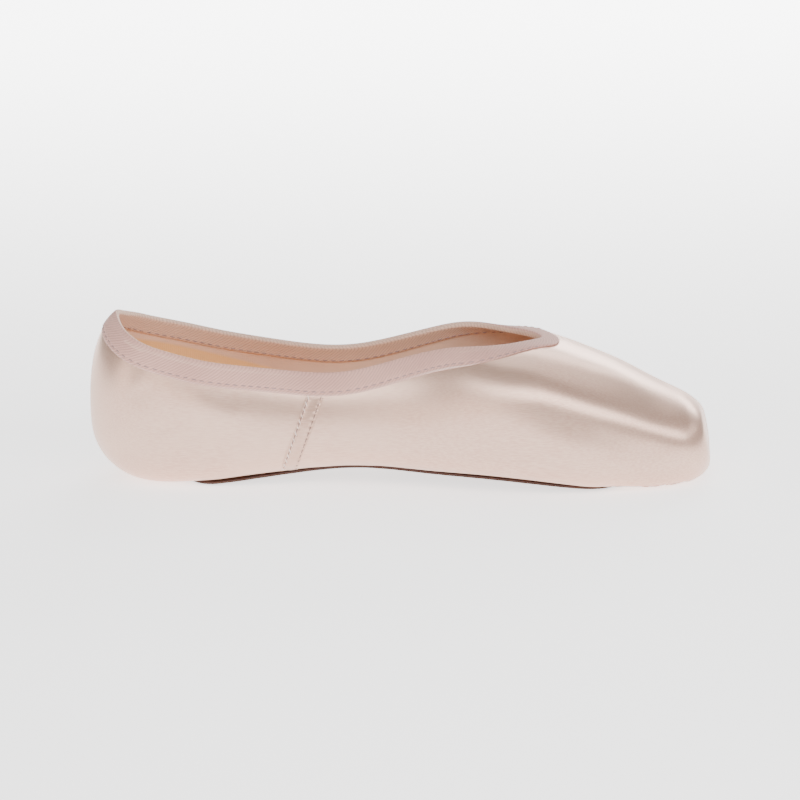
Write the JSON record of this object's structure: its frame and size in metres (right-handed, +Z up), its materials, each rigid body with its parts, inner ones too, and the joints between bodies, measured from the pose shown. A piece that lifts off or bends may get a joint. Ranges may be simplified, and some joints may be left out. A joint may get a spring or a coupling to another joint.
{
  "type": "pointe shoe",
  "caption": "Ballet pointe shoe with a satin upper, V-shaped throat, bound top line, flat toe platform, thin leather outsole and an insole.",
  "frame": {"origin": "centre of the shoe's length and width, on the floor it stands on", "axes": "+X from the heel towards the toe platform, +Y to the wearer's left in a forward-pointing shoe, +Z up; the XZ plane is the plane of symmetry"},
  "size_m": [0.2358, 0.0726, 0.0651],
  "materials": {
    "satin_upper": "pale pink duchess satin with a soft directional sheen over a pasted box",
    "insole": "tan board covered with matt cotton",
    "outsole_leather": "brown leather with a dark skived edge",
    "binding_tape": "matt diagonal-ribbed cotton tape, stitched along both edges",
    "satin_seam": "the upper's satin, lapped and stitched twice"
  },
  "bodies": {
    "root": {"upper": "satin_upper", "insole": "insole", "outsole": "outsole_leather", "collar_binding": "binding_tape", "side_seam_left": "satin_seam", "side_seam_right": "satin_seam"}
  },
  "joints": []
}
